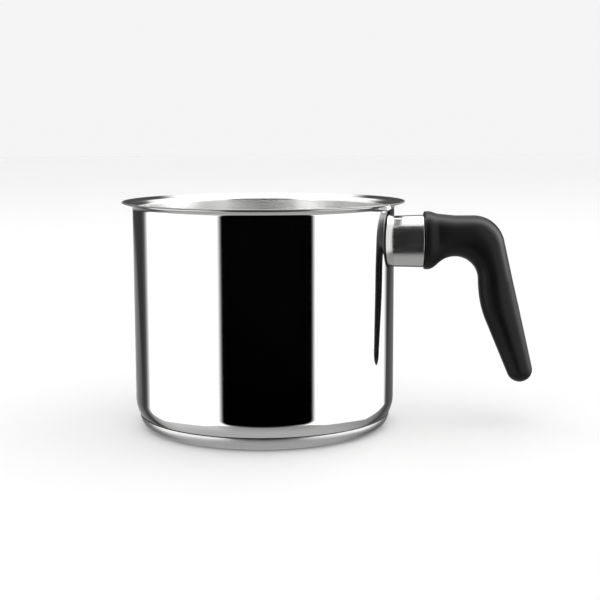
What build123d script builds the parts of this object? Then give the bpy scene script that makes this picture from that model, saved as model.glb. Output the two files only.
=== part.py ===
from build123d import *
import os
from math import cos, radians, sin, sqrt, tan

# Candle melting pot: a tall straight-sided stainless pot with a flared pouring rim, a capsule
# base and one phenolic drop grip held off the hot wall by an oval stainless flame guard.
# Millimetres. The origin is on the standing face, on the pot's axis. +Z is up that axis and
# +X runs out through the grip.

# Pot shell, drawn from one sheet
WALL_R = 70.8  # outside radius of the straight wall, 140 mm across inside
SHELL_T = 0.8
POT_H = 123.0
RIM_R = 76.65
RIM_SLOPE = 18.0  # degrees that the flared lip still rises
RIM_BEND_R = 2.0  # outside radius where the wall turns out into the lip
CORNER_R = 17.0  # large radius under the wall, down to the capsule's edge
CORNER_TURN = 32.0  # degrees of that radius
HEEL_R = 5.5  # small radius from there to the flat floor
LIP_ROUND_R = 0.36  # both corners of the lip's cut edge

# Capsule base: an aluminium disc sealed under the shell by a stainless cap
CAP_T = 0.6
CORE_T = 4.0
CAP_R = 68.6
CAP_CORNER_R = 7.2  # also the height of the cap's edge
FLOOR_Z = CAP_T + CORE_T  # underside of the shell's floor

# Handle fixing, on an axis along X
HANDLE_Z = 100.2
INSIDE_X = 35.0  # a plane inside the pot, from which pieces trimmed to the wall are drawn
SADDLE_T = 1.5
SADDLE_HALF_Y = 7.0
SADDLE_HALF_Z = 11.0
STUD_R = 3.0  # M6, drawn as a plain shank
STUD_FLANGE_R = 5.5
STUD_FLANGE_T = 2.0
STUD_END_X = 101.0
STUD_CHAMFER = 0.6
SHANK_PLAY = 0.02  # radial play where the stud passes through the saddle and the insert
HOLE_PLAY = 0.25  # radial play in the flame guard and the lock washer

# Flame guard: a drawn oval cup, open at the wall, closed at the grip
GUARD_T = 0.6
GUARD_END_X = 87.5
GUARD_HALF_Y = 9.1  # at the grip
GUARD_HALF_Z = 14.4
GUARD_TAPER = 1.5  # degrees, narrowing towards the wall
GUARD_EDGE_R = 1.0

# Lock washer and threaded insert
WASHER_R = 5.9
WASHER_T = 1.6
WASHER_SPLIT = 1.2
WASHER_SLANT = 20.0  # degrees that the split leans
WASHER_POCKET_R = 6.3
INSERT_R = 5.0
INSERT_WAIST_R = 4.3
INSERT_L = 14.0
INSERT_BORE_L = 12.8

# Grip outline, in the XZ plane
LIP_LOW_Z, LIP_TOP_Z = 84.7, 116.5
LIP_EDGE_R = 0.5
LIP_L = 2.4
LIP_DRAFT = 0.12  # how much the lip has narrowed by its far side
NECK_X = 94.5
NECK_TOP_Z = 115.0
ARCH_X, ARCH_Z, ARCH_R = 104.5, 78.5, 13.25  # hollow under the bend
BEND_X, BEND_Z, BEND_R = 114.5, 96.6, 17.5  # outside of the bend
BACK_LEAN = 13.0  # degrees from vertical of the straight back, below the bend
KNEE_X, KNEE_Z, KNEE_HALF = 128.2, 69.0, 10.6  # top of the straight tapering drop
KNEE_R = 44.0  # on the inner side, where the arch passes into the drop
KNEE_END = 0.25  # share of the drop that the knee's rounding takes
TIP_X, TIP_Z, TIP_HALF = 141.5, 28.5, 7.0  # centre of the round end
# Half width in Y at the lip, neck, bend, knee and tip
LIP_HALF_Y, NECK_HALF_Y, BEND_HALF_Y, KNEE_HALF_Y, TIP_HALF_Y = 10.7, 9.8, 10.7, 10.5, 8.6
OVAL_POWER = 2.2  # 2 is an ellipse, and more is squarer
OVAL_POINTS = 16
# Sections drawn along the neck, round the bend, round the knee and over the round end
NECK_STEPS, SPOKE_STEPS, KNEE_STEPS, END_STEPS = 4, 9, 6, 6
END_LATITUDE = 84  # degrees of the last section of the round end, which leaves a small flat


def shell_outline():
    """The outside of the shell from the axis to the lip's edge, in the XZ plane."""
    turn = radians(CORNER_TURN)
    flat_r = WALL_R - CORNER_R * (1 - cos(turn)) - HEEL_R * cos(turn)
    bend = radians(90 - RIM_SLOPE)
    lip_l = (RIM_R - WALL_R - RIM_BEND_R * (1 - cos(bend))) / sin(bend)
    lip_rise = RIM_BEND_R * sin(bend) + lip_l * cos(bend) + SHELL_T * sin(bend)
    floor = Line((0, FLOOR_Z), (flat_r, FLOOR_Z))
    heel = JernArc(floor @ 1, (1, 0), HEEL_R, 90 - CORNER_TURN)
    corner = JernArc(heel @ 1, heel % 1, CORNER_R, CORNER_TURN)
    wall = Line(corner @ 1, (WALL_R, POT_H - lip_rise))
    lip_bend = JernArc(wall @ 1, (0, 1), RIM_BEND_R, RIM_SLOPE - 90)
    lip = Line(lip_bend @ 1, lip_bend @ 1 + (lip_bend % 1) * lip_l)
    return floor + heel + corner + wall + lip_bend + lip


def turned(face):
    """A solid of revolution from a face drawn in the XZ plane."""
    return revolve(Plane.XZ * face, Axis.Z)


def shell_section():
    outline = shell_outline()
    face = make_face(offset(outline, SHELL_T, side=Side.LEFT, closed=True))
    lip_corners = face.vertices().sort_by(Axis.X)[-2:]
    return fillet(lip_corners, LIP_ROUND_R)


def shell_block():
    """Everything inside the outside of the shell, as one solid."""
    outline = shell_outline()
    top = outline @ 1
    closing = Polyline(top, (0, top.Y), (0, FLOOR_Z))
    return turned(make_face(outline + closing))


def capsule_block(inset):
    """The capsule's outside, or its inside when inset is the cap's thickness."""
    flat_r = CAP_R - CAP_CORNER_R
    floor = Line((0, inset), (flat_r, inset))
    corner = JernArc(floor @ 1, (1, 0), CAP_CORNER_R - inset, 90)
    closing = Polyline(corner @ 1, (0, CAP_CORNER_R), (0, inset))
    return turned(make_face(floor + corner + closing))


def handle_plane(x):
    """A section plane across the handle's axis, with its X up and its Y along the row's Y."""
    return Plane(origin=(x, 0, HANDLE_Z), x_dir=(0, 0, 1), z_dir=(1, 0, 0))


def rod(radius, start_x, end_x):
    return extrude(handle_plane(start_x) * Circle(radius), end_x - start_x)


def wall_cylinder(radius):
    return Pos(0, 0, HANDLE_Z) * Cylinder(radius, POT_H)


def saddle_plate():
    """An oval plate curved to the wall, spot-welded on, with a hole for the stud."""
    oval = extrude(handle_plane(INSIDE_X) * Ellipse(SADDLE_HALF_Z, SADDLE_HALF_Y), WALL_R)
    curved = wall_cylinder(WALL_R + SADDLE_T) - wall_cylinder(WALL_R)
    return curved & oval - rod(STUD_R + SHANK_PLAY, 0, STUD_END_X)


def handle_stud():
    """The stud, with a round flange that stands on the saddle."""
    flange_x = WALL_R + SADDLE_T
    shank = rod(STUD_R, INSIDE_X, STUD_END_X)
    flange = rod(STUD_FLANGE_R, flange_x, flange_x + STUD_FLANGE_T)
    point = shank.edges().filter_by(GeomType.CIRCLE).sort_by(Axis.X)[-1]
    return chamfer(point, STUD_CHAMFER) - wall_cylinder(WALL_R) + flange


def guard_oval(x, inset):
    narrowing = (GUARD_END_X - x) * tan(radians(GUARD_TAPER)) + inset
    return handle_plane(x) * Ellipse(GUARD_HALF_Z - narrowing, GUARD_HALF_Y - narrowing)


def guard_block(end_x, inset):
    """A tapering oval block from inside the pot out to end_x."""
    return loft([guard_oval(INSIDE_X, inset), guard_oval(end_x, inset)], ruled=True)


def flame_guard():
    """The cup: its open end is cut to the wall, and its closed end has a hole for the stud."""
    outside = guard_block(GUARD_END_X, 0)
    rim = outside.edges().sort_by(Axis.X)[-1]
    inside = guard_block(GUARD_END_X - GUARD_T, GUARD_T)
    hole = rod(STUD_R + HOLE_PLAY, INSIDE_X, GUARD_END_X)
    return fillet(rim, GUARD_EDGE_R) - inside - hole - wall_cylinder(WALL_R)


def lock_washer():
    """A spring washer, pressed flat, with its slanting split at the top."""
    end_x = GUARD_END_X + WASHER_T
    ring = rod(WASHER_R, GUARD_END_X, end_x) - rod(STUD_R + HOLE_PLAY, GUARD_END_X, end_x)
    upright = Box(2 * WASHER_R, WASHER_SPLIT, 2 * WASHER_R, align=(Align.CENTER, Align.CENTER, Align.MIN))
    return ring - Pos(GUARD_END_X + WASHER_T / 2, 0, HANDLE_Z) * Rot(Z=WASHER_SLANT) * upright


def insert_body():
    """The insert's outside: three rings with two waists between them, which lock it in the grip."""
    start_x = GUARD_END_X + WASHER_T
    ring_l = INSERT_L / 5
    body = rod(INSERT_WAIST_R, start_x, start_x + INSERT_L)
    for place in (0, 2, 4):
        body += rod(INSERT_R, start_x + place * ring_l, start_x + (place + 1) * ring_l)
    return body


def grip_insert():
    start_x = GUARD_END_X + WASHER_T
    return insert_body() - rod(STUD_R + SHANK_PLAY, start_x, start_x + INSERT_BORE_L)


def grip_section(low, top, half_y):
    """An oval face through a low and a top point of the grip's outline, given as (X, Z)."""
    low, top = Vector(low.X, 0, low.Y), Vector(top.X, 0, top.Y)
    across = (top - low).normalized()
    half = (top - low).length / 2
    plane = Plane(origin=(low + top) / 2, x_dir=across, z_dir=across.cross(Vector(0, 1, 0)))
    points = []
    for step in range(OVAL_POINTS):
        angle = radians(360 * step / OVAL_POINTS)
        c, s = cos(angle), sin(angle)
        size = (abs(c) ** OVAL_POWER + abs(s) ** OVAL_POWER) ** (-1 / OVAL_POWER)
        points.append((half * c * size, half_y * s * size))
    return plane * make_face(Spline(points, periodic=True))


def spoke_end(angle):
    """Where a spoke from the arch's centre leaves the grip: by its level top, its bend or its back."""
    c, s = cos(radians(angle)), sin(radians(angle))
    lean_c, lean_s = cos(radians(BACK_LEAN)), sin(radians(BACK_LEAN))
    dx, dz = BEND_X - ARCH_X, BEND_Z - ARCH_Z
    to_back = (dx * lean_c + dz * lean_s + BEND_R) / (c * lean_c + s * lean_s)
    if (dz + BEND_R) * c < dx * s:
        reach = (dz + BEND_R) / s
    elif to_back * s < dz + BEND_R * lean_s:
        reach = to_back
    else:
        along = dx * c + dz * s
        reach = along + sqrt(along**2 - dx**2 - dz**2 + BEND_R**2)
    return Vector(ARCH_X + reach * c, ARCH_Z + reach * s)


def lip_section(x, inset):
    return grip_section(Vector(x, LIP_LOW_Z + inset), Vector(x, LIP_TOP_Z - inset), LIP_HALF_Y - inset)


def neck_section(x):
    """An upright section between the lip and the top of the arch."""
    share = (x - NECK_X) / (ARCH_X - NECK_X)
    low_z = ARCH_Z + sqrt(ARCH_R**2 - (ARCH_X - x) ** 2)
    top_z = NECK_TOP_Z + (BEND_Z + BEND_R - NECK_TOP_Z) * share
    return grip_section(Vector(x, low_z), Vector(x, top_z), NECK_HALF_Y)


def bend_section(angle):
    """A section along the spoke at this angle from the arch's centre."""
    low = Vector(ARCH_X + ARCH_R * cos(radians(angle)), ARCH_Z + ARCH_R * sin(radians(angle)))
    half_y = NECK_HALF_Y + (BEND_HALF_Y - NECK_HALF_Y) * (1 - angle / 90)
    return grip_section(low, spoke_end(angle), half_y)


def drop_ends(share, past_tip=0.0, shrink=1.0):
    """The low and top points square to the line from knee to tip, share of the way down it."""
    line = Vector(TIP_X - KNEE_X, TIP_Z - KNEE_Z)
    down = line.normalized()
    centre = Vector(KNEE_X, KNEE_Z) + line * share + down * past_tip
    reach = Vector(-down.Y, down.X) * (KNEE_HALF + (TIP_HALF - KNEE_HALF) * share) * shrink
    return centre - reach, centre + reach


def drop_half_y(share):
    return KNEE_HALF_Y + (TIP_HALF_Y - KNEE_HALF_Y) * share


def knee_section(share):
    """A section round the knee, share of the way from the last spoke into the straight drop."""
    corner = drop_ends(0)[0]
    end_low, end_top = drop_ends(KNEE_END)
    inner = FilletPolyline((ARCH_X + ARCH_R, ARCH_Z), corner, end_low, radius=KNEE_R)
    low = inner.position_at(share * inner.length, position_mode=PositionMode.LENGTH)
    top = spoke_end(0) + (end_top - spoke_end(0)) * share
    half_y = BEND_HALF_Y + (drop_half_y(KNEE_END) - BEND_HALF_Y) * share
    return grip_section(low, top, half_y)


def end_section(latitude):
    """A section of the round end, this many degrees on from its widest place."""
    angle = radians(latitude)
    low, top = drop_ends(1, TIP_HALF * sin(angle), cos(angle))
    return grip_section(low, top, drop_half_y(1) * cos(angle))


def grip_body():
    """The grip's outside, ruled from section to section: lip, neck, bend, knee, drop and round end."""
    sections = [
        lip_section(GUARD_END_X, LIP_EDGE_R),
        lip_section(GUARD_END_X + LIP_EDGE_R, 0),
        lip_section(GUARD_END_X + LIP_L, LIP_DRAFT),
    ]
    neck_step = (ARCH_X - NECK_X) / NECK_STEPS
    sections += [neck_section(NECK_X + neck_step * step) for step in range(NECK_STEPS)]
    sections += [bend_section(90 - 90 * step / SPOKE_STEPS) for step in range(SPOKE_STEPS + 1)]
    sections += [knee_section(step / KNEE_STEPS) for step in range(1, KNEE_STEPS + 1)]
    sections += [end_section(END_LATITUDE * step / END_STEPS) for step in range(END_STEPS + 1)]
    slices = [loft([first, second], ruled=True) for first, second in zip(sections, sections[1:])]
    return slices[0].fuse(*slices[1:])


def grip():
    pocket = rod(WASHER_POCKET_R, WALL_R, GUARD_END_X + WASHER_T)
    return grip_body() - pocket - insert_body()


def main():
    block = shell_block()
    core_block = capsule_block(CAP_T)
    nodes = {
        "pot_shell": turned(shell_section()),
        "base_core": core_block - block,
        "base_cap": capsule_block(0) - core_block - block,
        "saddle_plate": saddle_plate(),
        "handle_stud": handle_stud(),
        "flame_guard": flame_guard(),
        "lock_washer": lock_washer(),
        "grip_insert": grip_insert(),
        "grip": grip(),
    }
    os.makedirs("parts", exist_ok=True)
    for name, shape in nodes.items():
        export_step(shape, f"parts/{name}.step")
        print(name, round(shape.volume), "mm3")


main()
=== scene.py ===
from math import ceil, cos, degrees, pi, radians, sin, sqrt, tan

import bmesh
import bpy
from mathutils import Matrix, Vector


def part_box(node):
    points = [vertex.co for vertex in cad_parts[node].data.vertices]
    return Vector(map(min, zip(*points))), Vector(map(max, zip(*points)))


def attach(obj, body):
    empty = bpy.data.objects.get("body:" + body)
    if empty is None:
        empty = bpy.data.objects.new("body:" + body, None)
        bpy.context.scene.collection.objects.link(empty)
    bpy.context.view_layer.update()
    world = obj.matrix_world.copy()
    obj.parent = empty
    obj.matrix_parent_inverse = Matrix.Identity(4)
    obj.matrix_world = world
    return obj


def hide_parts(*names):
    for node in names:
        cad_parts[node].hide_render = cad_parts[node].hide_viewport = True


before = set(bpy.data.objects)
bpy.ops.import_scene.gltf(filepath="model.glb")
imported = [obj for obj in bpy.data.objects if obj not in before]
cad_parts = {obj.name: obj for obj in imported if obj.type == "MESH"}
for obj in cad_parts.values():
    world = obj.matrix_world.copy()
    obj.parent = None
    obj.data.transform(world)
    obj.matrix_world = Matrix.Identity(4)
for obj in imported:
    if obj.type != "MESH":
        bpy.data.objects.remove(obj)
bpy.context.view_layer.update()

# Lengths are in millimetres until a mesh is made, and MM turns them into the frame's metres.
MM = 0.001

# Pot shell
WALL_R = 70.8
SHELL_T = 0.8
RIM_R = 76.65
RIM_SLOPE = 18.0
RIM_BEND_R = 2.0
CORNER_R = 17.0
CORNER_TURN = 32.0
HEEL_R = 5.5
POT_H = 123.0
FLOOR_Z = 4.6
HEEL_Z = FLOOR_Z + HEEL_R
FLAT_R = WALL_R - CORNER_R * (1 - cos(radians(CORNER_TURN))) - HEEL_R * cos(radians(CORNER_TURN))

# Capsule base
CAP_R = 68.6
CAP_T = 0.6
CAP_CORNER_R = 7.2
CAP_EDGE_R = 0.15
SEAM_GAP = 0.1

# Flame guard
HANDLE_Z = 100.2
GUARD_T = 0.6
GUARD_END_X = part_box("flame_guard")[1].x / MM
GUARD_HALF_Y, GUARD_HALF_Z = 9.1, 14.4
GUARD_TAPER = 1.5
GUARD_EDGE_R = 1.0
STUD_HOLE_R = 3.25

# Grip
POCKET_R, POCKET_L = 6.3, 1.6
BORE_R, BORE_L = 5.02, 15.6
LIP_LOW_Z, LIP_TOP_Z = 84.7, 116.5
LIP_EDGE_R = 0.6
LIP_END_X, NECK_X = 89.6, 95.3
NECK_TOP_Z = 115.05
ARCH_X, ARCH_Z, ARCH_R = 104.5, 78.5, 13.25
BEND_X, BEND_Z, BEND_R = 114.5, 96.6, 17.5
BACK_LEAN = 13.0
KNEE_X, KNEE_Z, KNEE_HALF = 128.2, 69.0, 10.6
KNEE_END = 0.25
TIP_X, TIP_Z, TIP_HALF = 141.5, 28.5, 7.0
LIP_HALF_Y, NECK_HALF_Y, BEND_HALF_Y, KNEE_HALF_Y, TIP_HALF_Y = 10.7, 9.8, 10.7, 10.5, 8.6
OVAL_POWER = 2.2
PARTING_RISE = 0.07

LATHE_STEPS = 288
OVAL_STEPS = 96
SHARP_ANGLE = radians(35)


# ---------------------------------------------------------------- meshes


def arc(cx, cz, radius, start, end, step=3.0):
    """Points round an arc in the XZ plane, with its angles in degrees, both ends included."""
    count = max(1, ceil(abs(end - start) / step))
    angles = [radians(start + (end - start) * i / count) for i in range(count + 1)]
    return [(cx + radius * cos(a), cz + radius * sin(a)) for a in angles]


def run(start, end, step=4.0, guard=0.3):
    """Points between two ends, which are left out. One lies close to each, to keep the shading flat."""
    length = sqrt((end[0] - start[0]) ** 2 + (end[1] - start[1]) ** 2)
    count = max(1, round(length / step))
    shares = [guard / length] + [i / count for i in range(1, count)] + [1 - guard / length]
    return [tuple(a + (b - a) * share for a, b in zip(start, end)) for share in shares]


def ring_mesh(name, rings, material_of_ring, materials, cap_start=False, cap_end=False, loop=False):
    """A smooth mesh through rings of equal length, with flat fans over the ends that are capped."""
    bm = bmesh.new()
    made = [[bm.verts.new(Vector(p) * MM) for p in ring] for ring in rings]
    pairs = list(zip(made, made[1:])) + ([(made[-1], made[0])] if loop else [])
    for index, (first, second) in enumerate(pairs):
        for i in range(len(first)):
            j = (i + 1) % len(first)
            face = bm.faces.new((first[i], first[j], second[j], second[i]))
            face.material_index = material_of_ring(index)
    for wanted, ring, index in ((cap_start, made[0], 0), (cap_end, made[-1], len(made) - 2)):
        if wanted:
            middle = bm.verts.new(sum((v.co for v in ring), Vector()) / len(ring))
            for i in range(len(ring)):
                face = bm.faces.new((ring[i], ring[(i + 1) % len(ring)], middle))
                face.material_index = material_of_ring(index)
    bmesh.ops.recalc_face_normals(bm, faces=bm.faces)
    for face in bm.faces:
        face.smooth = True
    for edge in bm.edges:
        edge.smooth = edge.calc_face_angle(0.0) < SHARP_ANGLE
    mesh = bpy.data.meshes.new(name)
    bm.to_mesh(mesh)
    bm.free()
    for item in materials:
        mesh.materials.append(item)
    piece = bpy.data.objects.new(name, mesh)
    bpy.context.scene.collection.objects.link(piece)
    return piece


def lathe_rings(profile):
    """Rings round the Z axis for a profile of (radius, height)."""
    turns = [2 * pi * i / LATHE_STEPS for i in range(LATHE_STEPS)]
    return [[(r * cos(a), r * sin(a), z) for a in turns] for r, z in profile]


# ---------------------------------------------------------------- shell and base


def shell_profile():
    """The outside from the floor's middle, the cut edge and the inside, as three lists of points.

    The fourth value is how many points of the inside belong to the lip.
    """
    bend = radians(90 - RIM_SLOPE)
    corner_z = HEEL_Z + (CORNER_R - HEEL_R) * sin(radians(CORNER_TURN))
    corner_r = WALL_R - CORNER_R
    lip_l = (RIM_R - WALL_R - RIM_BEND_R * (1 - cos(bend))) / sin(bend)
    lip_rise = RIM_BEND_R * sin(bend) + lip_l * cos(bend) + SHELL_T * sin(bend)
    wall_top = POT_H - lip_rise
    bend_r = WALL_R + RIM_BEND_R
    inner_r = WALL_R - SHELL_T
    along = Vector((sin(bend), cos(bend)))
    lip_start = Vector((bend_r, wall_top)) + RIM_BEND_R * Vector((-cos(bend), sin(bend)))
    lip_round = SHELL_T / 2
    edge_mid = lip_start + along * (lip_l - lip_round) + Vector((-along.y, along.x)) * lip_round
    edge = arc(edge_mid.x, edge_mid.y, lip_round, RIM_SLOPE - 90, RIM_SLOPE + 90, 15)

    outside = [(r, FLOOR_Z) for r in (4, 20, 40, 62)]
    outside += arc(FLAT_R, HEEL_Z, HEEL_R, -90, -CORNER_TURN)
    outside += arc(corner_r, corner_z, CORNER_R, -CORNER_TURN, 0, 1.5)[1:]
    outside += run((WALL_R, corner_z), (WALL_R, wall_top))
    outside += arc(bend_r, wall_top, RIM_BEND_R, 180, 180 - degrees(bend), 4)
    outside += run(outside[-1], edge[0], 1.0, 0.15)
    inside = run(edge[-1], tuple(lip_start + Vector((-along.y, along.x)) * SHELL_T), 1.0, 0.15)
    lip_count = len(inside)
    inside += arc(bend_r, wall_top, RIM_BEND_R + SHELL_T, 180 - degrees(bend), 180, 4)
    inside += run((inner_r, wall_top), (inner_r, corner_z))
    inside += arc(corner_r, corner_z, CORNER_R - SHELL_T, 0, -CORNER_TURN, 1.5)
    inside += arc(FLAT_R, HEEL_Z, HEEL_R - SHELL_T, -CORNER_TURN, -90)[1:]
    inside += [(r, FLOOR_Z + SHELL_T) for r in (63, 58, 50, 40, 30, 20, 10, 3)]
    return outside, edge, inside, lip_count


def make_shell(polished, satin, cut_edge_dull_and_shaded):
    """Polished outside and over the lip, with a duller cut edge darkened as painted shade and a satin
    inside.
    """
    outside, edge, inside, lip_count = shell_profile()
    edge_start = len(outside)
    edge_end = edge_start + len(edge) - 1
    satin_start = edge_end + 1 + lip_count

    def material_of(index):
        if edge_start <= index < edge_end:
            return 2
        return 0 if index < satin_start else 1

    return ring_mesh(
        "shell", lathe_rings(outside + edge + inside), material_of, [polished, satin, cut_edge_dull_and_shaded],
        cap_start=True, cap_end=True,
    )


def make_capsule(side_steel, turned, painted_seam_shade):
    """The cap: turned underside, softly polished side, and a rounded edge just clear of the shell,
    coloured near black along the seam as painted shade.
    """
    flat_r = CAP_R - CAP_CORNER_R

    def clear_of_shell(z):
        return FLAT_R + sqrt(HEEL_R**2 - (HEEL_Z - z) ** 2) + SEAM_GAP

    underside = [(r, 0.0) for r in (4, 20, 40, 55, 61)]
    side = arc(flat_r, CAP_CORNER_R, CAP_CORNER_R, -90, -2)
    rim = arc(CAP_R - CAP_EDGE_R, CAP_CORNER_R - CAP_EDGE_R, CAP_EDGE_R, 0, 90, 30)
    seam = [(clear_of_shell(z), z) for z in (CAP_CORNER_R - 0.06, 6.9, 6.6, 6.3)]
    lining = arc(flat_r, CAP_CORNER_R, CAP_CORNER_R - CAP_T, -10, -90, 6)
    lining += [(r, CAP_T) for r in (50, 25, 4)]
    outer = len(underside) + len(side)

    def material_of(index):
        # Index 2 covers the rounded edge and the seam faces and takes the near-black painted seam
        # shade.
        return 1 if index < len(underside) else 0 if index < outer else 2

    profile = underside + side + rim + seam + lining
    return ring_mesh(
        "capsule", lathe_rings(profile), material_of, [side_steel, turned, painted_seam_shade],
        cap_start=True, cap_end=True,
    )


# ---------------------------------------------------------------- flame guard


def guard_ring(x_of, inset, steps=OVAL_STEPS):
    """An oval ring of the guard. x_of gives each point's X from its Y."""
    ring = []
    for i in range(steps):
        a = 2 * pi * i / steps
        x = x_of(GUARD_HALF_Y * sin(a))
        narrowing = (GUARD_END_X - x) * tan(radians(GUARD_TAPER)) + inset
        half_y, half_z = GUARD_HALF_Y - narrowing, GUARD_HALF_Z - narrowing
        ring.append((x, half_y * sin(a), HANDLE_Z + half_z * cos(a)))
    return ring


def circle_ring(x, radius, steps=OVAL_STEPS):
    """A ring round the handle's axis."""
    turns = [2 * pi * i / steps for i in range(steps)]
    return [(x, radius * sin(a), HANDLE_Z + radius * cos(a)) for a in turns]


def make_guard(polished):
    """A closed mesh: outside from the wall to the end, through the stud's hole, and back inside."""
    def between(share, end_x):
        def x_of(y):
            foot = sqrt(WALL_R**2 - y**2)
            return foot + (end_x - foot) * share
        return x_of

    straight_x = GUARD_END_X - GUARD_EDGE_R
    shares = [0.0, 0.02] + [i / 8 for i in range(1, 8)] + [0.98, 1.0]
    rings = [guard_ring(between(share, straight_x), 0) for share in shares]
    for i in range(1, 10):
        a = radians(10 * i)
        x = straight_x + GUARD_EDGE_R * sin(a)
        rings.append(guard_ring(lambda y, x=x: x, GUARD_EDGE_R * (1 - cos(a))))
    rings.append(guard_ring(lambda y: GUARD_END_X, GUARD_EDGE_R + 0.2))
    rings += [circle_ring(GUARD_END_X, STUD_HOLE_R), circle_ring(GUARD_END_X - GUARD_T, STUD_HOLE_R)]
    inside_x = GUARD_END_X - GUARD_T
    rings += [guard_ring(between(share, inside_x), GUARD_T) for share in (1.0, 0.5, 0.0)]
    return ring_mesh("guard", rings, lambda i: 0, [polished], loop=True)


# ---------------------------------------------------------------- grip


def smooth(t):
    return t * t * (3 - 2 * t)


def hermite(start, start_slope, end, end_slope, t):
    """Height along a curve between two (x, z) points with these slopes."""
    span = end[0] - start[0]
    return (
        (2 * t**3 - 3 * t**2 + 1) * start[1]
        + (t**3 - 2 * t**2 + t) * span * start_slope
        + (3 * t**2 - 2 * t**3) * end[1]
        + (t**3 - t**2) * span * end_slope
    )


def arch_height(x):
    return ARCH_Z + sqrt(ARCH_R**2 - (ARCH_X - x) ** 2)


def neck_top(x):
    return NECK_TOP_Z + (BEND_Z + BEND_R - NECK_TOP_Z) * (x - NECK_X) / (ARCH_X - NECK_X)


def spoke_end(angle):
    """Where a spoke from the arch's centre leaves the grip: by its level top, its bend or its back."""
    c, s = cos(radians(angle)), sin(radians(angle))
    lean_c, lean_s = cos(radians(BACK_LEAN)), sin(radians(BACK_LEAN))
    dx, dz = BEND_X - ARCH_X, BEND_Z - ARCH_Z
    to_back = (dx * lean_c + dz * lean_s + BEND_R) / (c * lean_c + s * lean_s)
    if (dz + BEND_R) * c < dx * s:
        reach = (dz + BEND_R) / s
    elif to_back * s < dz + BEND_R * lean_s:
        reach = to_back
    else:
        along = dx * c + dz * s
        reach = along + sqrt(along**2 - dx**2 - dz**2 + BEND_R**2)
    return Vector((ARCH_X + reach * c, ARCH_Z + reach * s))


def drop_ends(share, past_tip=0.0, shrink=1.0):
    """The low and top points square to the line from knee to tip, share of the way down it."""
    line = Vector((TIP_X - KNEE_X, TIP_Z - KNEE_Z))
    down = line.normalized()
    centre = Vector((KNEE_X, KNEE_Z)) + line * share + down * past_tip
    reach = Vector((-down.y, down.x)) * (KNEE_HALF + (TIP_HALF - KNEE_HALF) * share) * shrink
    return centre - reach, centre + reach


def knee_low(share):
    """The inner side between the arch and the drop, as one soft curve."""
    start, corner, end = Vector((ARCH_X + ARCH_R, ARCH_Z)), drop_ends(0)[0], drop_ends(KNEE_END)[0]
    return start * (1 - share) ** 2 + corner * 2 * share * (1 - share) + end * share**2


def grip_stations():
    """(low point, top point, half width) of each section, from the flame guard to the round end."""
    stations = []
    for i in range(7):
        a = radians(15 * i)
        x, inset = GUARD_END_X + LIP_EDGE_R * (1 - cos(a)), LIP_EDGE_R * (1 - sin(a))
        low, top = Vector((x, LIP_LOW_Z + inset)), Vector((x, LIP_TOP_Z - inset))
        stations.append((low, top, LIP_HALF_Y - inset))
    lip_low, lip_top = (LIP_END_X, LIP_LOW_Z), (LIP_END_X, LIP_TOP_Z)
    arch_slope = (ARCH_X - NECK_X) / (arch_height(NECK_X) - ARCH_Z)
    top_slope = (neck_top(ARCH_X) - neck_top(NECK_X)) / (ARCH_X - NECK_X)
    for i in range(13):
        t = i / 12
        x = LIP_END_X + (NECK_X - LIP_END_X) * t
        low = hermite(lip_low, 0, (NECK_X, arch_height(NECK_X)), arch_slope, t)
        top = hermite(lip_top, 0, (NECK_X, NECK_TOP_Z), top_slope, t)
        half_y = LIP_HALF_Y + (NECK_HALF_Y - LIP_HALF_Y) * smooth(t)
        stations.append((Vector((x, low)), Vector((x, top)), half_y))
    for i in range(1, 12):
        x = NECK_X + (ARCH_X - NECK_X) * i / 12
        stations.append((Vector((x, arch_height(x))), Vector((x, neck_top(x))), NECK_HALF_Y))
    for i in range(37):
        angle = 90 - 2.5 * i
        low = Vector((ARCH_X, ARCH_Z)) + ARCH_R * Vector((cos(radians(angle)), sin(radians(angle))))
        half_y = NECK_HALF_Y + (BEND_HALF_Y - NECK_HALF_Y) * smooth(i / 36)
        stations.append((low, spoke_end(angle), half_y))
    knee_top, knee_end_top = spoke_end(0), drop_ends(KNEE_END)[1]
    for i in range(1, 17):
        t = i / 16
        half_y = BEND_HALF_Y + (drop_half_y(KNEE_END) - BEND_HALF_Y) * t
        stations.append((knee_low(t), knee_top + (knee_end_top - knee_top) * t, half_y))
    for i in range(1, 21):
        share = KNEE_END + (1 - KNEE_END) * i / 20
        stations.append((*drop_ends(share), drop_half_y(share)))
    for i in range(1, 18):
        a = radians(5 * i)
        stations.append((*drop_ends(1, TIP_HALF * sin(a), cos(a)), TIP_HALF_Y * cos(a)))
    return stations


def drop_half_y(share):
    return KNEE_HALF_Y + (TIP_HALF_Y - KNEE_HALF_Y) * share


def oval_ring(low, top, half_y):
    """A superellipse between a low and a top point, with a fine parting line along both."""
    centre, across = (low + top) / 2, (top - low) / 2
    ring = []
    for i in range(OVAL_STEPS):
        a = 2 * pi * i / OVAL_STEPS
        c, s = cos(a), sin(a)
        size = (abs(c) ** OVAL_POWER + abs(s) ** OVAL_POWER) ** (-1 / OVAL_POWER)
        if i % (OVAL_STEPS // 2) == 0:
            size += PARTING_RISE / across.length
        point = centre + across * c * size
        ring.append((point.x, half_y * s * size, point.y))
    return ring


def make_grip(phenolic):
    """The grip with the pocket and bore that the washer and insert sit in."""
    pocket_x, bore_x = GUARD_END_X + POCKET_L, GUARD_END_X + BORE_L
    rings = [circle_ring(bore_x, BORE_R), circle_ring(pocket_x, BORE_R)]
    rings += [circle_ring(pocket_x, POCKET_R), circle_ring(GUARD_END_X, POCKET_R)]
    rings += [oval_ring(*station) for station in grip_stations()]
    return ring_mesh("grip_body", rings, lambda i: 0, [phenolic], cap_start=True, cap_end=True)


# ---------------------------------------------------------------- materials


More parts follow.
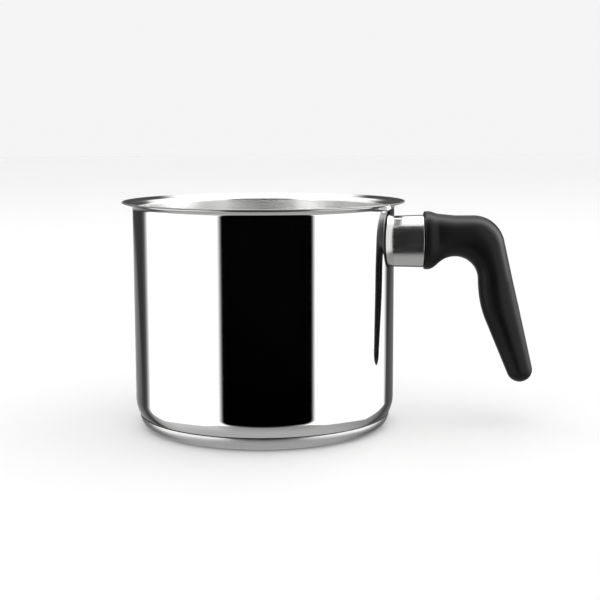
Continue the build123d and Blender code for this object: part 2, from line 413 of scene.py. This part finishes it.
class Nodes:
    """An empty node tree of a material or a world, with short calls for the nodes used here."""

    def __init__(self, owner):
        owner.use_nodes = True
        self.tree = owner.node_tree
        self.tree.nodes.clear()

    def add(self, kind, inputs=(), **attributes):
        made = self.tree.nodes.new(kind)
        for name, value in attributes.items():
            setattr(made, name, value)
        for socket, value in dict(inputs).items():
            if isinstance(value, bpy.types.NodeSocket):
                self.tree.links.new(value, made.inputs[socket])
            else:
                made.inputs[socket].default_value = value
        return made

    def math(self, operation, first, second=0.0):
        return self.add("ShaderNodeMath", {0: first, 1: second}, operation=operation).outputs[0]

    def blend(self, factor, first, second):
        """From the first colour to the second. Each is a colour of three numbers or a socket."""
        first, second = (c if isinstance(c, bpy.types.NodeSocket) else (*c, 1) for c in (first, second))
        return self.add("ShaderNodeMix", {0: factor, 6: first, 7: second}, data_type="RGBA").outputs[2]


class Shader(Nodes):
    """A material round one Principled BSDF, whose fixed settings are given by name."""

    def __init__(self, name, **settings):
        self.material = bpy.data.materials.new(name)
        super().__init__(self.material)
        self.bsdf = self.tree.nodes.new("ShaderNodeBsdfPrincipled")
        output = self.tree.nodes.new("ShaderNodeOutputMaterial")
        self.tree.links.new(self.bsdf.outputs[0], output.inputs[0])
        for socket, value in settings.items():
            self.bsdf.inputs[socket.replace("_", " ")].default_value = value
        self.position = self.add("ShaderNodeTexCoord").outputs["Object"]

    def noise(self, scale, detail=3.0, vector=None, roughness=0.5):
        inputs = {"Scale": scale, "Detail": detail, "Roughness": roughness}
        inputs["Vector"] = vector or self.position
        return self.add("ShaderNodeTexNoise", inputs).outputs[0]

    def span(self, value, low, high, start=0.3, end=0.7):
        """value, from start to end, carried over to low to high."""
        return self.add(
            "ShaderNodeMapRange",
            {"Value": value, "From Min": start, "From Max": end, "To Min": low, "To Max": high},
        ).outputs[0]

    def bump(self, height, strength, distance, normal=None):
        inputs = {"Height": height, "Strength": strength, "Distance": distance}
        if normal:
            inputs["Normal"] = normal
        return self.add("ShaderNodeBump", inputs).outputs[0]

    def around(self, along=6.0):
        """A vector that changes fast across circles round Z and slowly along them, for turned marks."""
        x, y, z = self.add("ShaderNodeSeparateXYZ", {0: self.position}).outputs
        square = self.math("ADD", self.math("MULTIPLY", x, x), self.math("MULTIPLY", y, y))
        across = self.math("ADD", self.math("SQRT", square), z)
        slow_x, slow_y = (self.math("MULTIPLY", part, along / 1000) for part in (x, y))
        return self.add("ShaderNodeCombineXYZ", {0: slow_x, 1: slow_y, 2: across}).outputs[0]

    def radial_tangent(self):
        """The direction round Z, for brushing that runs round the pot."""
        return self.add("ShaderNodeTangent", direction_type="RADIAL", axis="Z").outputs[0]

    def wire(self, **sockets):
        for socket, value in sockets.items():
            self.tree.links.new(value, self.bsdf.inputs[socket.replace("_", " ")])
        return self.material


def mirror_steel():
    """Buffed stainless: a mirror with a faint haze and fine marks round the pot."""
    s = Shader("mirror_steel", Metallic=1.0)
    haze = s.noise(22, 4)
    lines = s.noise(2600, 3, s.around())
    rough = s.math("ADD", s.span(haze, 0.02, 0.05), s.span(lines, 0.0, 0.03))
    colour = s.blend(haze, (0.83, 0.83, 0.825), (0.88, 0.88, 0.875))
    normal = s.bump(lines, 0.05, 0.00002)
    return s.wire(Base_Color=colour, Roughness=rough, Normal=s.bump(haze, 0.05, 0.0003, normal))


def satin_steel():
    """The inside: fine brushing round the pot, which smears reflections up and down."""
    s = Shader("satin_steel", Metallic=1.0, Anisotropic=0.75, Anisotropic_Rotation=0.25)
    lines = s.noise(1800, 4, s.around(), 0.65)
    broad = s.noise(260, 3, s.around())
    stain = s.noise(30, 3)
    rough = s.math("ADD", s.span(lines, 0.2, 0.26), s.span(broad, 0.0, 0.04))
    colour = s.blend(s.span(stain, 0.2, 0.8), (0.78, 0.78, 0.77), (0.84, 0.84, 0.83))
    normal = s.bump(lines, 0.05, 0.00002)
    return s.wire(Base_Color=colour, Roughness=rough, Normal=normal, Tangent=s.radial_tangent())


def side_steel():
    """The base's side: polished after bonding, which leaves a soft sheen and fine rings."""
    s = Shader("side_steel", Metallic=1.0)
    lines = s.noise(2200, 3, s.around())
    haze = s.noise(35, 4)
    rough = s.math("ADD", s.span(lines, 0.24, 0.32), s.span(haze, 0.0, 0.05))
    colour = s.blend(haze, (0.72, 0.72, 0.715), (0.78, 0.78, 0.775))
    return s.wire(Base_Color=colour, Roughness=rough, Normal=s.bump(lines, 0.05, 0.00002))


def turned_steel():
    """The underside: coarser rings from the facing cut."""
    s = Shader("turned_steel", Metallic=1.0, Anisotropic=0.6, Anisotropic_Rotation=0.25)
    rings = s.noise(900, 4, s.around(2.0), 0.6)
    wear = s.noise(40, 4)
    rough = s.math("ADD", s.span(rings, 0.18, 0.34), s.span(wear, 0.0, 0.12))
    colour = s.blend(wear, (0.6, 0.6, 0.59), (0.78, 0.78, 0.77))
    normal = s.bump(rings, 0.35, 0.00005)
    return s.wire(Base_Color=colour, Roughness=rough, Normal=normal, Tangent=s.radial_tangent())


def guard_steel():
    """Drawn oval cup: softly polished along its axis, with painted shade that darkens it where it turns
    away from view.
    """
    s = Shader("guard_steel", Metallic=1.0)
    stretched = s.add("ShaderNodeMapping", {0: s.position, 3: (40, 1500, 1500)}).outputs[0]
    lines = s.noise(1, 3, stretched)
    haze = s.noise(60, 3)
    rough = s.math("ADD", s.span(lines, 0.14, 0.22), s.span(haze, 0.0, 0.05))
    colour = s.blend(haze, (0.66, 0.66, 0.65), (0.72, 0.72, 0.71))
    # Painted shade: the colour goes near black where the surface turns away from view, in place of a
    # dark reflection along its edges.
    facing = s.add("ShaderNodeLayerWeight", {0: 0.5}).outputs["Facing"]
    edge = s.span(facing, 0.0, 1.0, 0.5, 0.64)
    colour = s.blend(edge, colour, (0.09, 0.09, 0.09))
    return s.wire(Base_Color=colour, Roughness=rough, Normal=s.bump(lines, 0.06, 0.00002))


def phenolic():
    """Black moulded phenolic: soft gloss with a very fine grain and faint handling haze."""
    s = Shader("black_phenolic", Specular_IOR_Level=0.2)
    grain = s.noise(2400, 3, roughness=0.6)
    haze = s.noise(55, 4)
    colour = s.blend(haze, (0.003, 0.003, 0.0034), (0.0055, 0.0055, 0.006))
    rough = s.math("ADD", s.span(haze, 0.24, 0.32), s.span(grain, 0.0, 0.06))
    return s.wire(Base_Color=colour, Roughness=rough, Normal=s.bump(grain, 0.25, 0.00006))


def plain_metal(name, dark, light, grain_scale, low, high):
    """Unpolished metal: mottled colour, uneven roughness from low to high, and fine tool marks."""
    s = Shader(name, Metallic=1.0)
    mottle = s.noise(180, 4)
    grain = s.noise(grain_scale, 3)
    colour = s.blend(mottle, dark, light)
    rough = s.span(grain, low, high)
    return s.wire(Base_Color=colour, Roughness=rough, Normal=s.bump(grain, 0.2, 0.00005))


def pale_floor():
    """A matt near-white table, not quite even."""
    s = Shader("pale_floor", Specular_IOR_Level=0.2)
    cloud = s.noise(2.5, 3)
    grain = s.noise(300, 2)
    colour = s.blend(cloud, (0.68, 0.68, 0.68), (0.7, 0.7, 0.698))
    return s.wire(Base_Color=colour, Roughness=s.span(grain, 0.6, 0.75))


# ---------------------------------------------------------------- studio

# Brightness round the horizon and of the table below it, by azimuth in degrees: 0 is towards the
# camera, and positive is its right.
WHITE = 1.3
HORIZON = (
    (-180, 0.08), (-140, 0.04), (-133, 0.04), (-128, 0.1), (-124, 0.5), (-120.5, WHITE), (129, WHITE),
    (137, 0.04), (180, 0.08),
)
TABLE = (
    (-180, 0.6), (-165, 0.4), (-155, 0.23), (-145, 0.15), (-138, 0.07), (-132, 0.05), (-122, 0.4),
    (-100, 0.62), (-50, 0.64), (-30, 0.36), (0, 0.3), (40, 0.33), (60, 0.44), (90, 0.36), (125, 0.25),
    (138, 0.06), (150, 0.1), (165, 0.2), (180, 0.6),
)
# Elevations by azimuth: where the white overhead begins and where the table ends
OVERHEAD = ((-180, 28), (-130, 28), (-60, 50), (60, 50), (130, 28), (180, 28))
TABLE_EDGE = (
    (-180, -3), (-150, -6), (-130, -14), (-110, -30), (-60, -33), (-42, -29), (0, -29), (42, -29),
    (60, -33), (110, -30), (130, -14), (150, -6), (180, -3),
)
OVERHEAD_WHITE, OVERHEAD_SOFT = 1.3, 3.0
TABLE_SOFT = 1.5
# The near part of the table, right under the pot, is one tone.
UNDER, UNDER_EDGE, UNDER_SOFT = 0.45, -44.0, 12.0
BACKDROP = 0.91
# A bright arch over the pot from its right side. Only reflections see it, inside what is white already.
ARCH_POWER, ARCH_HALF_WIDTH = 7.0, 0.5
ARCH_START, ARCH_START_SOFT = 0.35, 0.25
ARCH_FOOT, ARCH_FOOT_SOFT = 4.0, 5.0

# A black card stood in front with soft edges and rounded corners, which only reflections see
CARD_Y = -218.0
CARD_LEFT, CARD_RIGHT = -158.0, 180.0
CARD_LOW, CARD_TOP = -96.0, 362.0
CARD_CORNER_R = 60.0
CARD_SOFT = 28.0

# The floor's half width and the overhead light, in metres and watts
FLOOR_HALF = 6.0
LIGHT_SIZE, LIGHT_POWER, LIGHT_AT = 3.0, 16.0, (0.0, 0.0, 2.0)

# Camera, in the frame's metres and in degrees
CAMERA_AT = (0.0, -0.69035, 0.16375)
CAMERA_PITCH, CAMERA_YAW, CAMERA_ROLL = 7.8915, 1.6245, -0.14
CAMERA_LENS, SENSOR_WIDTH = 76.083, 36.0


class Sky(Nodes):
    """The world's nodes, with values that change with the direction looked in."""

    def __init__(self, world):
        super().__init__(world)
        towards = self.add("ShaderNodeTexCoord").outputs["Generated"]
        self.x, self.y, self.z = self.add("ShaderNodeSeparateXYZ", {0: towards}).outputs
        turned = self.math("ARCTAN2", self.x, self.math("MULTIPLY", self.y, -1.0))
        self.place = self.math("ADD", self.math("DIVIDE", turned, 2 * pi), 0.5)
        self.elevation = self.math("MULTIPLY", self.math("ARCSINE", self.z), 180 / pi)

    def ramp(self, stops, offset=0.0, scale=1.0):
        """Runs through (azimuth, value) stops. Values are carried as (value + offset) * scale."""
        made = self.add("ShaderNodeValToRGB", {0: self.place})
        elements = made.color_ramp.elements
        while len(elements) < len(stops):
            elements.new(0.5)
        for element, (angle, value) in zip(elements, stops):
            element.position = 0.5 + angle / 360
            element.color = (*[(value + offset) * scale] * 3, 1)
        return made.outputs[0]

    def elevation_ramp(self, stops):
        """A ramp of elevations, which a colour ramp only carries as shares from 0 to 1."""
        share = self.ramp(stops, 90, 1 / 180)
        return self.math("SUBTRACT", self.math("MULTIPLY", share, 180.0), 90.0)

    def step(self, value, edge, width):
        """0 below the edge and 1 above it, with a soft change."""
        inputs = {0: self.math("SUBTRACT", value, edge), 1: -width, 2: width, 3: 0.0, 4: 1.0}
        return self.add("ShaderNodeMapRange", inputs, interpolation_type="SMOOTHSTEP").outputs[0]

    def arch(self):
        """Brightest over the X axis and falling off to both sides of it."""
        away = self.math("DIVIDE", self.math("ABSOLUTE", self.y), ARCH_HALF_WIDTH)
        start = self.step(self.math("ADD", self.x, self.z), ARCH_START, ARCH_START_SOFT)
        shape = self.math("MAXIMUM", self.math("SUBTRACT", 1.0, away), 0.0)
        shape = self.math("MULTIPLY", shape, start)
        shape = self.math("MULTIPLY", shape, self.step(self.elevation, ARCH_FOOT, ARCH_FOOT_SOFT))
        return self.math("MULTIPLY", shape, ARCH_POWER)


def grey(value):
    return (value, value, value)


def make_world():
    """Soft studio surroundings: white panels in front and at the sides, dark behind, white overhead."""
    world = bpy.data.worlds.new("studio")
    bpy.context.scene.world = world
    sky = Sky(world)
    overhead = sky.step(sky.elevation, sky.elevation_ramp(OVERHEAD), OVERHEAD_SOFT)
    above = sky.blend(overhead, sky.ramp(HORIZON), grey(OVERHEAD_WHITE))
    near = sky.step(sky.elevation, UNDER_EDGE, UNDER_SOFT)
    table = sky.blend(near, grey(UNDER), sky.ramp(TABLE))
    above_table = sky.step(sky.elevation, sky.elevation_ramp(TABLE_EDGE), TABLE_SOFT)
    studio = sky.blend(above_table, table, above)
    rays = sky.add("ShaderNodeLightPath").outputs
    boost = sky.math("MULTIPLY", sky.arch(), rays["Is Glossy Ray"])
    studio = sky.add("ShaderNodeMix", {0: 1.0, 6: studio, 7: boost}, data_type="RGBA", blend_type="ADD")
    colour = sky.blend(rays["Is Camera Ray"], studio.outputs[2], grey(BACKDROP))
    background = sky.add("ShaderNodeBackground", {0: colour, 1: 1.0})
    output = sky.add("ShaderNodeOutputWorld")
    sky.tree.links.new(background.outputs[0], output.inputs[0])


def make_floor():
    """A wide flat floor at the height that the pot stands at, left out of reflections."""
    bm = bmesh.new()
    bmesh.ops.create_grid(bm, x_segments=8, y_segments=8, size=FLOOR_HALF)
    mesh = bpy.data.meshes.new("floor")
    bm.to_mesh(mesh)
    bm.free()
    mesh.materials.append(pale_floor())
    floor = bpy.data.objects.new("floor", mesh)
    bpy.context.scene.collection.objects.link(floor)
    floor.visible_glossy = False


def felt_mask(felt):
    """1 over the card, falling to 0 along its edges, with rounded corners."""
    middle = Vector((CARD_LEFT + CARD_RIGHT, 2 * CARD_Y, CARD_LOW + CARD_TOP)) / 2
    half_width, half_height = (CARD_RIGHT - CARD_LEFT) / 2, (CARD_TOP - CARD_LOW) / 2
    core = Vector((half_width - CARD_CORNER_R, 0, half_height - CARD_CORNER_R))
    none = Vector()
    steps = (("SUBTRACT", middle), ("ABSOLUTE", none), ("SUBTRACT", core), ("MAXIMUM", none))
    place = felt.position
    for operation, other in steps:
        inputs = {0: place, 1: other * MM}
        place = felt.add("ShaderNodeVectorMath", inputs, operation=operation).outputs[0]
    outwards = felt.add("ShaderNodeVectorMath", {0: place}, operation="LENGTH").outputs["Value"]
    inputs = {0: outwards, 1: (CARD_CORNER_R - CARD_SOFT) * MM, 2: CARD_CORNER_R * MM, 3: 1.0, 4: 0.0}
    return felt.add("ShaderNodeMapRange", inputs, interpolation_type="SMOOTHSTEP").outputs[0]


def make_card():
    """The black card. Its corners and edges come from its material."""
    corners = (
        (CARD_LEFT, CARD_LOW), (CARD_RIGHT, CARD_LOW), (CARD_RIGHT, CARD_TOP), (CARD_LEFT, CARD_TOP),
    )
    bm = bmesh.new()
    bm.faces.new([bm.verts.new(Vector((x, CARD_Y, z)) * MM) for x, z in corners])
    mesh = bpy.data.meshes.new("card")
    bm.to_mesh(mesh)
    bm.free()
    felt = Shader("black_felt", Roughness=1.0, Specular_IOR_Level=0.0)
    colour = felt.blend(felt.noise(900, 4), (0.0002, 0.0002, 0.0002), (0.0008, 0.0008, 0.0008))
    mesh.materials.append(felt.wire(Base_Color=colour, Alpha=felt_mask(felt)))
    card = bpy.data.objects.new("card", mesh)
    bpy.context.scene.collection.objects.link(card)
    card.visible_camera = card.visible_diffuse = card.visible_shadow = False


def make_light():
    """One large soft light overhead, which lights the floor and leaves no mark in the steel."""
    data = bpy.data.lights.new("soft_light", "AREA")
    data.shape = "DISK"
    data.size = LIGHT_SIZE
    data.energy = LIGHT_POWER
    light = bpy.data.objects.new("soft_light", data)
    light.location = LIGHT_AT
    light.visible_glossy = False
    light.visible_camera = False
    bpy.context.scene.collection.objects.link(light)


def make_camera():
    data = bpy.data.cameras.new("camera")
    data.lens = CAMERA_LENS
    data.sensor_width = SENSOR_WIDTH
    data.clip_start, data.clip_end = 0.01, 50.0
    camera = bpy.data.objects.new("camera", data)
    yaw = Matrix.Rotation(radians(-CAMERA_YAW), 4, "Z")
    pitch = Matrix.Rotation(radians(90 - CAMERA_PITCH), 4, "X")
    roll = Matrix.Rotation(radians(CAMERA_ROLL), 4, "Z")
    camera.matrix_world = Matrix.Translation(CAMERA_AT) @ yaw @ pitch @ roll
    bpy.context.scene.collection.objects.link(camera)
    bpy.context.scene.camera = camera


# ---------------------------------------------------------------- assembly


def stand_for(piece, node):
    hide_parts(node)
    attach(piece, "root")


def dress(node, material):
    """Gives a CAD node that keeps its shape a better material."""
    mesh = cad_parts[node].data
    mesh.materials.clear()
    mesh.materials.append(material)


def main():
    bpy.context.scene.view_settings.view_transform = "Standard"
    make_camera()
    make_world()
    make_floor()
    make_card()
    make_light()
    polished = mirror_steel()
    # The cut edge: rougher than the polish, and dark grey as painted shade along the rim's edge.
    cut_edge_dull_and_shaded = plain_metal("cut_edge_dull_and_shaded", (0.2, 0.2, 0.2), (0.3, 0.3, 0.29), 900, 0.4, 0.55)
    stand_for(make_shell(polished, satin_steel(), cut_edge_dull_and_shaded), "pot_shell")
    # Near-black metal for the cap's rounded edge and seam: painted shade in the joint between cap and
    # shell.
    seam = plain_metal("painted_seam_shade", (0.06, 0.06, 0.06), (0.12, 0.12, 0.12), 900, 0.45, 0.6)
    stand_for(make_capsule(side_steel(), turned_steel(), seam), "base_cap")
    stand_for(make_guard(guard_steel()), "flame_guard")
    stand_for(make_grip(phenolic()), "grip")
    fixing = plain_metal("fixing_steel", (0.42, 0.42, 0.41), (0.6, 0.6, 0.59), 1500, 0.25, 0.45)
    for node in ("saddle_plate", "handle_stud", "lock_washer"):
        dress(node, fixing)
    dress("grip_insert", plain_metal("brass", (0.62, 0.45, 0.2), (0.8, 0.63, 0.33), 1200, 0.2, 0.4))
    dress("base_core", plain_metal("aluminium", (0.7, 0.7, 0.72), (0.85, 0.85, 0.86), 700, 0.3, 0.5))


main()
